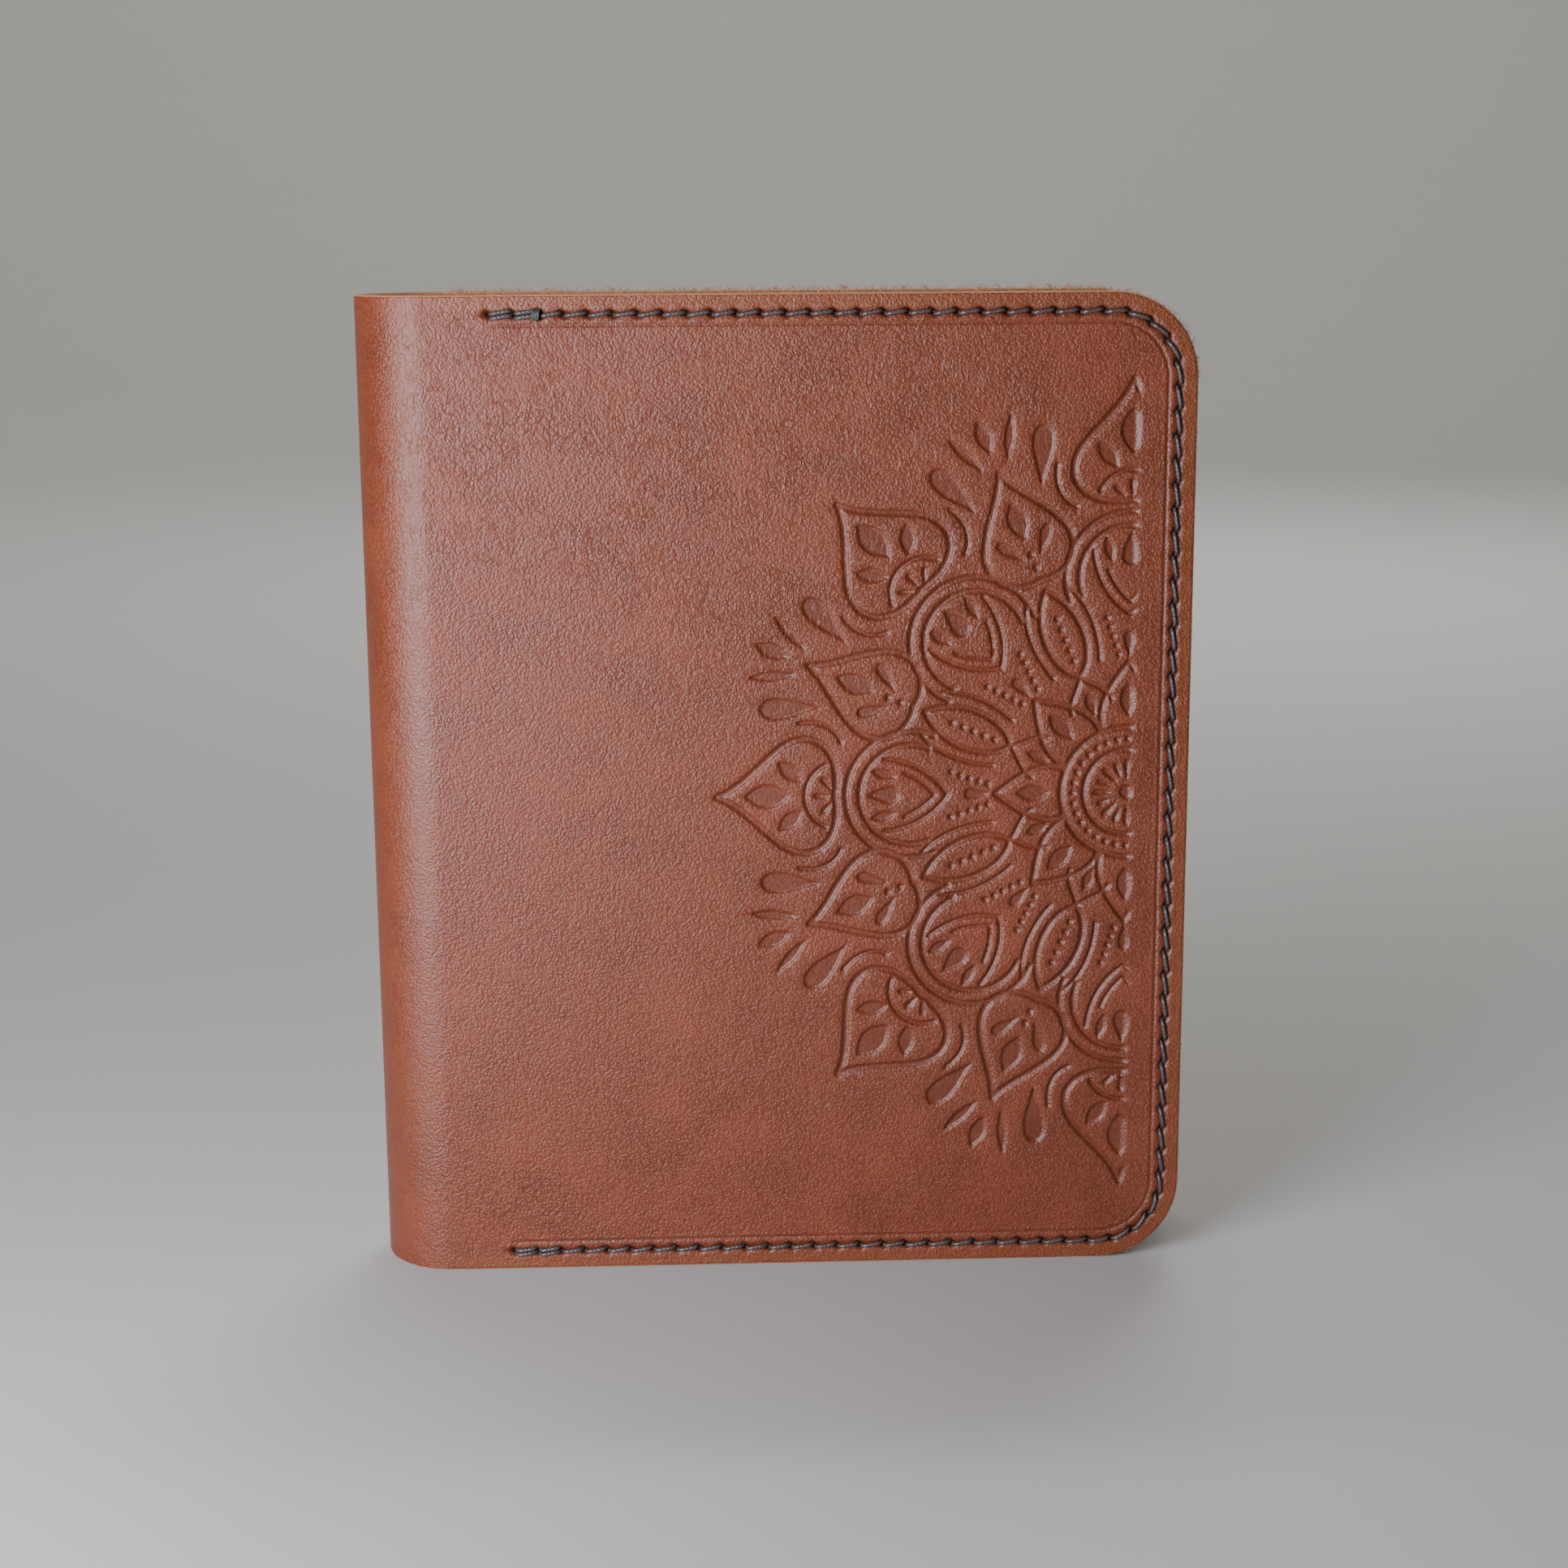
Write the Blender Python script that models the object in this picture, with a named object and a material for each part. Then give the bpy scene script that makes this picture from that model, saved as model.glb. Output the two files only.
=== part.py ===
"""A6 leather notebook cover: one bent outer leather, two sewn-in sleeves and their saddle stitching.

The closed cover stands on its bottom edge. X runs from the spine to the fore-edge, the front cover
faces -Y, the back cover faces +Y, and Z is up. The origin is the middle of the bottom edge.
The leather that bends round the spine is divided into strips, which turn on each other about
vertical lines, so that the cover opens until both halves lie flat.
"""

from math import atan2, cos, pi, radians, sin, tan

import bmesh
import bpy
from mathutils import Matrix, Vector

# Driving sizes, in metres.
HEIGHT = 0.160
CLOSED_WIDTH = 0.133
CLOSED_THICKNESS = 0.024
COVER_LEATHER = 0.002
SLEEVE_LEATHER = 0.0012
CORNER_RADIUS = 0.0135
SLEEVE_SETBACK = 0.0205  # from the spine's outer face to the free edge of a sleeve
SEAM_MARGIN = 0.003  # from the cut edge of the leather to the line of stitches
FIRST_HOLE_INSET = 0.0015  # from the free edge of a sleeve to the first hole
STITCH_PITCH = 0.00385
THREAD = 0.00075
SLIT_LENGTH = 0.0015
SLIT_WIDTH = 0.0012
SLIT_SLANT = radians(45)

# Clearances, in metres.
LAYER_GAP = 0.0003
GROOVE_GAP = 0.0002
STRIP_GAP = 0.0003
CUT_OVERRUN = 0.001

# The bend of the spine: each side turns a quarter turn, in equal steps at its bend lines.
BENDS_PER_SIDE = 3
BEND_STEP = radians(90) / BENDS_PER_SIDE
ARC_STEP = radians(2.5)
CORNER_STEP = radians(7.5)

FRONT, BACK = -1, 1

# Everything below follows from the sizes above.
SPINE_X = -CLOSED_WIDTH / 2
FORE_EDGE_X = CLOSED_WIDTH / 2
OUTER_RADIUS = CLOSED_THICKNESS / 2
INNER_RADIUS = OUTER_RADIUS - COVER_LEATHER
BEND_X = SPINE_X + OUTER_RADIUS
# The bend lines lie where opening them all lays the leather out at its own length.
MIDDLE_RADIUS = (OUTER_RADIUS + INNER_RADIUS) / 2
HINGE_RADIUS = MIDDLE_RADIUS * (BEND_STEP / 2) / sin(BEND_STEP / 2)

SLEEVE_X = SPINE_X + SLEEVE_SETBACK
SLEEVE_OUTER_Y = INNER_RADIUS - LAYER_GAP
SLEEVE_INNER_Y = SLEEVE_OUTER_Y - SLEEVE_LEATHER

FIRST_HOLE_X = SLEEVE_X + FIRST_HOLE_INSET
SEAM_RADIUS = CORNER_RADIUS - SEAM_MARGIN
CORNER_X = FORE_EDGE_X - CORNER_RADIUS
TOP_CORNER_Z = HEIGHT - CORNER_RADIUS
BOTTOM_CORNER_Z = CORNER_RADIUS

# The outer run of the thread lies in a groove and is level with the leather.
GROOVE_WIDTH = THREAD + 2 * GROOVE_GAP
GROOVE_DEPTH = THREAD + GROOVE_GAP
INNER_RUN_Y = SLEEVE_INNER_Y - GROOVE_GAP


def new_collection(name):
    collection = bpy.data.collections.new(name)
    bpy.context.scene.collection.children.link(collection)
    return collection


def leather_or_thread(name, colour, roughness):
    material = bpy.data.materials.new(name)
    material.use_nodes = True
    shader = material.node_tree.nodes["Principled BSDF"]
    shader.inputs["Base Color"].default_value = (*colour, 1.0)
    shader.inputs["Roughness"].default_value = roughness
    shader.inputs["Metallic"].default_value = 0.0
    return material


def arc(centre, radius, start, end, step):
    """Points of a round stretch, its ends included."""
    count = max(2, round(abs(end - start) / step))
    angles = [start + (end - start) * i / count for i in range(count + 1)]
    return [(centre[0] + radius * cos(a), centre[1] + radius * sin(a)) for a in angles]


def extruded(name, outline, thickness, location, collection, material=None, upright=False):
    """A flat outline given a thickness, as a mesh. An upright outline is drawn in X and Z."""
    curve = bpy.data.curves.new(name, "CURVE")
    curve.dimensions = "2D"
    curve.fill_mode = "BOTH"
    curve.extrude = thickness / 2
    spline = curve.splines.new("POLY")
    spline.points.add(len(outline) - 1)
    for point, (u, v) in zip(spline.points, outline):
        point.co = (u, v, 0.0, 1.0)
    spline.use_cyclic_u = True
    drawn = bpy.data.objects.new(name + "_outline", curve)
    collection.objects.link(drawn)
    drawn.location = location
    if upright:
        drawn.rotation_euler.x = radians(90)
    bpy.context.view_layer.update()
    evaluated = drawn.evaluated_get(bpy.context.evaluated_depsgraph_get())
    mesh = bpy.data.meshes.new_from_object(evaluated)
    mesh.name = name
    piece = bpy.data.objects.new(name, mesh)
    piece.matrix_world = drawn.matrix_world.copy()
    collection.objects.link(piece)
    bpy.data.objects.remove(drawn)
    bpy.data.curves.remove(curve)
    welded = bmesh.new()
    welded.from_mesh(mesh)
    bmesh.ops.remove_doubles(welded, verts=welded.verts, dist=0.000001)
    bmesh.ops.recalc_face_normals(welded, faces=welded.faces)
    welded.to_mesh(mesh)
    welded.free()
    mesh.materials.clear()
    if material:
        mesh.materials.append(material)
    return piece


def make_cutter(cutter):
    cutter.hide_render = True
    cutter.display_type = "WIRE"
    return cutter


def combine(piece, operation, other):
    modifier = piece.modifiers.new(operation.title() + " " + other.name, "BOOLEAN")
    modifier.operation = operation
    modifier.solver = "EXACT"
    modifier.object = other


def bend_point(side, angle, radius, along=0.0):
    """A point of the spine's plan. The angle runs from the middle of the spine towards a cover."""
    x = BEND_X - radius * cos(angle) + along * sin(angle)
    y = side * (radius * sin(angle) + along * cos(angle))
    return (x, y)


def bend_arc(side, radius, start, end):
    """A round stretch of the plan. Its middle is always one of its points."""
    count = 2 * max(1, round(abs(end - start) / ARC_STEP / 2))
    return [bend_point(side, start + (end - start) * i / count, radius) for i in range(count + 1)]


def hinge_angle(number):
    """The angle of bend line 1, 2 or 3 of a side."""
    return BEND_STEP * (number - 0.5)


# The two faces at a bend line are level inside it, and lean apart outside it to let it open.
INNER_FACE = STRIP_GAP / 2
OUTER_FACE = STRIP_GAP / 2 + (OUTER_RADIUS - HINGE_RADIUS) * tan(BEND_STEP / 2)


def strip_outline(side, start, end):
    """A strip between two bend lines, whose angles are given."""
    outside = bend_arc(side, OUTER_RADIUS, start + OUTER_FACE / OUTER_RADIUS, end - OUTER_FACE / OUTER_RADIUS)
    inside = bend_arc(side, INNER_RADIUS, end - INNER_FACE / INNER_RADIUS, start + INNER_FACE / INNER_RADIUS)
    end_fold = bend_point(side, end, HINGE_RADIUS, -INNER_FACE)
    start_fold = bend_point(side, start, HINGE_RADIUS, INNER_FACE)
    return outside + [end_fold] + inside + [start_fold]


def cover_outline(side):
    """The plan of a cover: the last stretch of the bend, then flat to the fore-edge."""
    start = hinge_angle(BENDS_PER_SIDE)
    quarter = radians(90)
    outside = bend_arc(side, OUTER_RADIUS, start + OUTER_FACE / OUTER_RADIUS, quarter)
    inside = bend_arc(side, INNER_RADIUS, quarter, start + INNER_FACE / INNER_RADIUS)
    fore_edge = [(FORE_EDGE_X, side * OUTER_RADIUS), (FORE_EDGE_X, side * INNER_RADIUS)]
    return outside + fore_edge + inside + [bend_point(side, start, HINGE_RADIUS, INNER_FACE)]


def sheet_outline(left_x):
    """A leather sheet with square corners at left_x and round ones at the fore-edge."""
    top = arc((CORNER_X, TOP_CORNER_Z), CORNER_RADIUS, radians(90), 0, CORNER_STEP)
    bottom = arc((CORNER_X, BOTTOM_CORNER_Z), CORNER_RADIUS, 0, radians(-90), CORNER_STEP)
    return [(left_x, HEIGHT)] + top + bottom + [(left_x, 0.0)]


def seam_line(outset, overrun):
    """The line of the stitches, moved outwards by outset and run on past its two end holes."""
    radius = SEAM_RADIUS + outset
    end_x = FIRST_HOLE_X - overrun
    top = arc((CORNER_X, TOP_CORNER_Z), radius, radians(90), 0, CORNER_STEP)
    bottom = arc((CORNER_X, BOTTOM_CORNER_Z), radius, 0, radians(-90), CORNER_STEP)
    return [(end_x, TOP_CORNER_Z + radius)] + top + bottom + [(end_x, BOTTOM_CORNER_Z - radius)]


def seam_band(width, overrun):
    return seam_line(width / 2, overrun) + seam_line(-width / 2, overrun)[::-1]


def seam_holes():
    """The place and heading of each hole, evenly spaced along the seam."""
    line = [Vector(point) for point in seam_line(0.0, 0.0)]
    lengths = [(b - a).length for a, b in zip(line, line[1:])]
    stitches = round(sum(lengths) / STITCH_PITCH)
    pitch = sum(lengths) / stitches
    holes = []
    passed = 0.0
    for a, b, length in zip(line, line[1:], lengths):
        heading = atan2(b.y - a.y, b.x - a.x)
        while len(holes) <= stitches and len(holes) * pitch <= passed + length + 1e-9:
            place = a + (b - a) * ((len(holes) * pitch - passed) / length)
            holes.append((place, heading))
        passed += length
    return holes


def slanted_prisms(name, side, length, width, outer_y, inner_y, collection):
    """One four-sided prism through the leather at each hole of the seam."""
    shape = bmesh.new()
    middle_y = side * (outer_y + inner_y) / 2
    for place, heading in seam_holes():
        turned = Matrix.Rotation(-heading - SLIT_SLANT, 4, "Y")
        sized = Matrix.Diagonal((length / 2, 1.0, width / 2, 1.0))
        upright = Matrix.Rotation(radians(90), 4, "X")
        placed = Matrix.Translation((place.x, middle_y, place.y)) @ turned @ sized @ upright
        bmesh.ops.create_cone(
            shape, cap_ends=True, segments=4, radius1=1.0, radius2=1.0, depth=outer_y - inner_y, matrix=placed
        )
    mesh = bpy.data.meshes.new(name)
    shape.to_mesh(mesh)
    shape.free()
    prisms = bpy.data.objects.new(name, mesh)
    collection.objects.link(prisms)
    return make_cutter(prisms)


def shade_round(piece):
    piece.data.shade_smooth()
    piece.data.set_sharp_from_angle(angle=radians(30))


def spine_strips(parts, leather):
    """The strips between the bend lines, from the middle of the spine outwards."""
    middle = strip_outline(FRONT, -hinge_angle(1), hinge_angle(1))
    strips = [extruded("spine_middle", middle, HEIGHT, (0, 0, HEIGHT / 2), parts, leather)]
    for side, side_name in ((FRONT, "front"), (BACK, "back")):
        for number in range(1, BENDS_PER_SIDE):
            outline = strip_outline(side, hinge_angle(number), hinge_angle(number + 1))
            name = f"{side_name}_spine_strip_{number}"
            strips.append(extruded(name, outline, HEIGHT, (0, 0, HEIGHT / 2), parts, leather))
    for strip in strips:
        shade_round(strip)


def cover(side, side_name, parts, cutters, leather, corners, holes):
    """One half of the outer leather, with round fore-edge corners, the stitch groove and its holes."""
    piece = extruded(f"{side_name}_cover", cover_outline(side), HEIGHT, (0, 0, HEIGHT / 2), parts, leather)
    combine(piece, "INTERSECT", corners)
    groove_band = seam_band(GROOVE_WIDTH, SLIT_LENGTH / 2 + GROOVE_GAP)
    depth = GROOVE_DEPTH + CUT_OVERRUN
    groove_y = side * (OUTER_RADIUS - GROOVE_DEPTH + depth / 2)
    groove = extruded(f"{side_name}_groove", groove_band, depth, (0, groove_y, 0), cutters, upright=True)
    combine(piece, "DIFFERENCE", make_cutter(groove))
    combine(piece, "DIFFERENCE", holes)
    shade_round(piece)


def sleeve(side, side_name, parts, leather, holes):
    """The inner leather that is sewn on round three sides and holds the notebook's cover."""
    middle_y = side * (SLEEVE_OUTER_Y + SLEEVE_INNER_Y) / 2
    outline = sheet_outline(SLEEVE_X)
    piece = extruded(
        f"{side_name}_sleeve", outline, SLEEVE_LEATHER, (0, middle_y, 0), parts, leather, upright=True
    )
    combine(piece, "DIFFERENCE", holes)


def seam_thread(side, side_name, parts, cutters, thread):
    """The thread: a run in the outer groove, a run on the sleeve, and its passes through the holes."""
    run = seam_band(THREAD, SLIT_LENGTH / 2)
    outer_y = side * (OUTER_RADIUS - THREAD / 2)
    inner_y = side * (INNER_RUN_Y - THREAD / 2)
    name = f"{side_name}_seam_thread"
    piece = extruded(name, run, THREAD, (0, outer_y, 0), parts, thread, upright=True)
    inner_run = extruded(f"{side_name}_inner_run", run, THREAD, (0, inner_y, 0), cutters, upright=True)
    passes = slanted_prisms(
        f"{side_name}_passes", side, SLIT_LENGTH / 2, SLIT_WIDTH / 2,
        OUTER_RADIUS - THREAD / 2, INNER_RUN_Y - THREAD / 2, cutters,
    )
    combine(piece, "UNION", passes)
    combine(piece, "UNION", make_cutter(inner_run))


def main():
    for old in list(bpy.data.objects):
        bpy.data.objects.remove(old)
    parts = new_collection("leather_notebook_cover")
    cutters = new_collection("cutters")
    outer_leather = leather_or_thread("outer_leather", (0.26, 0.075, 0.032), 0.45)
    inner_leather = leather_or_thread("inner_leather", (0.30, 0.10, 0.045), 0.55)
    waxed_thread = leather_or_thread("waxed_thread", (0.025, 0.017, 0.013), 0.4)

    spine_strips(parts, outer_leather)
    corner_block = sheet_outline(SPINE_X - CUT_OVERRUN)
    corners = make_cutter(
        extruded("round_corners", corner_block, CLOSED_THICKNESS + 2 * CUT_OVERRUN, (0, 0, 0), cutters, upright=True)
    )
    for side, side_name in ((FRONT, "front"), (BACK, "back")):
        holes = slanted_prisms(
            f"{side_name}_holes", side, SLIT_LENGTH, SLIT_WIDTH,
            OUTER_RADIUS + CUT_OVERRUN, SLEEVE_INNER_Y - CUT_OVERRUN, cutters,
        )
        cover(side, side_name, parts, cutters, outer_leather, corners, holes)
        sleeve(side, side_name, parts, inner_leather, holes)
        seam_thread(side, side_name, parts, cutters, waxed_thread)


main()
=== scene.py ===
"""Looks of a hand-stitched leather notebook cover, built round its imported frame.

The outer leather is laid out flat in two lengths: u runs along its outer face from the middle of the
spine, and z runs up. Depth is measured inwards from that face. All lengths are in metres.
"""

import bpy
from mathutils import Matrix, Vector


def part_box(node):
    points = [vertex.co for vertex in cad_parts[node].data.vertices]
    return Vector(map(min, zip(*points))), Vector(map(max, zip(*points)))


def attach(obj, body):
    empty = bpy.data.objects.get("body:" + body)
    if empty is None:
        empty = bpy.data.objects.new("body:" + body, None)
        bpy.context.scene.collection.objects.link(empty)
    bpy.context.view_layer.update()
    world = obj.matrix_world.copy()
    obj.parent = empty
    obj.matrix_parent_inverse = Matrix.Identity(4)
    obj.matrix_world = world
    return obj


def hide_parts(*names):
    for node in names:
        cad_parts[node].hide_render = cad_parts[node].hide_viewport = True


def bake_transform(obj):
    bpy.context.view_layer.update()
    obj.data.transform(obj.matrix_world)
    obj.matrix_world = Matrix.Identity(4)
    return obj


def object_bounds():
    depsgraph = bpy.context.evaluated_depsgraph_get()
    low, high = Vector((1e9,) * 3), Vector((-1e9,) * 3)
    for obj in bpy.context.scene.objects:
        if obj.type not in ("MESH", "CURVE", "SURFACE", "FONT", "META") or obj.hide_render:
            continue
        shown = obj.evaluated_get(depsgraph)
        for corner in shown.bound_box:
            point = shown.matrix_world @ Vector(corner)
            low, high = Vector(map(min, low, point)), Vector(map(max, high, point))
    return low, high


bl_info = {
    "name": "Leather notebook cover",
    "version": (1, 0, 0),
    "blender": (4, 5, 0),
    "location": "3D View > Sidebar > Notebook Cover",
    "description": "Builds the leather, sleeves and saddle stitching of a notebook cover",
    "category": "Add Mesh",
}

from functools import partial
from math import ceil, cos, hypot, pi, radians, sin

import bmesh
import bpy
import numpy as np
from mathutils import Matrix, Vector

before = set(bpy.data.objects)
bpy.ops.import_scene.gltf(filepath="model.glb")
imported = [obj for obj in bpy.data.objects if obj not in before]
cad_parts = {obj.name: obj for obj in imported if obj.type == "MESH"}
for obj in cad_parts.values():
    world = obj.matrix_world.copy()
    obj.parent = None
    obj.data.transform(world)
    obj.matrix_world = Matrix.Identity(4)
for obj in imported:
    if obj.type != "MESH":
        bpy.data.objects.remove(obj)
CAD_LOW, CAD_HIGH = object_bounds()

MM = 0.001
FRONT, BACK = -1, 1
SIDE_NAMES = {FRONT: "front", BACK: "back"}

# Sizes that the frame gives.
HEIGHT = CAD_HIGH.z - CAD_LOW.z
FORE_X = CAD_HIGH.x
OUTER_RADIUS = CAD_HIGH.y
BEND_X = CAD_LOW.x + OUTER_RADIUS
QUARTER = OUTER_RADIUS * pi / 2
BENDS_PER_SIDE = 3
STRIP_ARC = QUARTER / BENDS_PER_SIDE
SLEEVE_LOW, SLEEVE_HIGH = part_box("front_sleeve")
THREAD_LOW, THREAD_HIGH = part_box("front_seam_thread")
SLEEVE_X = SLEEVE_LOW.x
SLEEVE_OUTER_Y = -SLEEVE_LOW.y
SLEEVE_INNER_Y = -SLEEVE_HIGH.y
SLEEVE_LEATHER = SLEEVE_OUTER_Y - SLEEVE_INNER_Y

# Material slots of a sheet of leather.
GRAIN, EDGE, FLESH = 0, 1, 2

# Roundings of the outer leather's edge, on its grain side and its flesh side.
EDGE_ROUNDS = (0.4 * MM, 0.3 * MM)

# Mesh spacing where two stretches of leather meet, so their shading agrees.
END_STEP = 0.08 * MM

# Between the fine lines round a plain face and its coarse middle.
MIDDLE_GAP = 1.2 * MM

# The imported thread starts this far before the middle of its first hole.
HALF_HOLE = 0.75 * MM


def linear(hex_colour):
    """An sRGB hex colour as linear red, green and blue."""
    channels = [int(hex_colour[i : i + 2], 16) / 255 for i in (1, 3, 5)]
    return tuple(c / 12.92 if c <= 0.04045 else ((c + 0.055) / 1.055) ** 2.4 for c in channels)


def length_property(name, description, default):
    return bpy.props.FloatProperty(
        name=name, description=description, default=default, unit="LENGTH", precision=5
    )


def colour_property(name, description, hex_colour):
    return bpy.props.FloatVectorProperty(
        name=name, description=description, default=linear(hex_colour), subtype="COLOR", min=0.0, max=1.0
    )


class NotebookCoverSizes(bpy.types.PropertyGroup):
    """Sizes that the frame doesn't hold."""

    leather: length_property("Cover leather", "Thickness of the outer leather", 2.0 * MM)
    corner: length_property("Corner radius", "Radius of the two fore-edge corners", 13.5 * MM)
    thread: length_property("Thread", "Diameter of the waxed thread", 0.75 * MM)
    pitch: length_property("Stitch pitch", "Distance between two awl holes", 3.85 * MM)
    crease: length_property("Crease inset", "From the stitches in to the pressed border line", 1.7 * MM)
    pressed: length_property("Pressed depth", "Depth of the rosette's grooves", 0.40 * MM)
    shoulder: length_property("Shoulder depth", "How far the leather beside a groove sinks", 0.06 * MM)
    rosette: length_property("Rosette radius", "From the rosette's centre to its outermost tips", 66.5 * MM)
    rosette_inset: length_property("Rosette inset", "From the fore-edge to the rosette's centre", 10.0 * MM)
    step: length_property("Mesh step", "Spacing of the mesh under the rosette", 0.24 * MM)


class NotebookCoverColours(bpy.types.PropertyGroup):
    """Colours of the leathers and the thread."""

    cognac: colour_property("Cognac", "Outer leather", "#713014")
    cognac_dark: colour_property("Dark cognac", "Deeper patches of the outer leather", "#61270e")
    # Paler tint for the dome tops, and for the crease lines as a painted highlight.
    cognac_light: colour_property("Light cognac", "Stretched creases and rubbed grain", "#a9694a")
    worn_rim: colour_property("Worn rim", "Grain rubbed between the stitches and the edge", "#7a3f1c")
    lining: colour_property("Lining", "Inner sleeves", "#9a5a3a")
    lining_dark: colour_property("Dark lining", "Deeper patches of the sleeves", "#824528")
    cut_edge: colour_property("Cut edge", "Raw fibres of the cut leather", "#cf9160")
    flesh: colour_property("Flesh side", "Suede inside of the outer leather", "#8f5c3f")
    thread: colour_property("Thread", "Waxed dark brown thread", "#403a3a")
    whipping: colour_property("Whipping", "Thread of the small whipped knot", "#2d3a35")


def sizes():
    return bpy.context.scene.notebook_cover_sizes


def colours():
    return bpy.context.scene.notebook_cover_colours


# ---------------------------------------------------------------- materials


def set_inputs(node, inputs):
    """Sets inputs to values, or links them to sockets. A node stands for its own first output."""
    for key, value in inputs.items():
        if isinstance(value, bpy.types.Node):
            value = value.outputs[0]
        if isinstance(value, bpy.types.NodeSocket):
            node.id_data.links.new(value, node.inputs[key])
        else:
            node.inputs[key].default_value = value


def add_node(tree, kind, settings=None, inputs=None):
    """Adds a shader node with its settings and inputs."""
    made = tree.nodes.new("ShaderNode" + kind)
    for key, value in (settings or {}).items():
        setattr(made, key, value)
    set_inputs(made, inputs or {})
    return made


def new_material(name):
    """A material, what adds a node to it, and its Principled shader, already linked to the output."""
    material = bpy.data.materials.new(name)
    material.use_nodes = True
    material.node_tree.nodes.clear()
    add = partial(add_node, material.node_tree)
    shader = add("BsdfPrincipled")
    add("OutputMaterial", inputs={"Surface": shader})
    return material, add, shader


def per_metre(millimetres):
    """The texture scale that gives a pattern of that size on coordinates in metres."""
    return 1.0 / (millimetres * MM)


def opaque(colour, brightness=1.0):
    return tuple(brightness * c for c in colour) + (1.0,)


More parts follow.
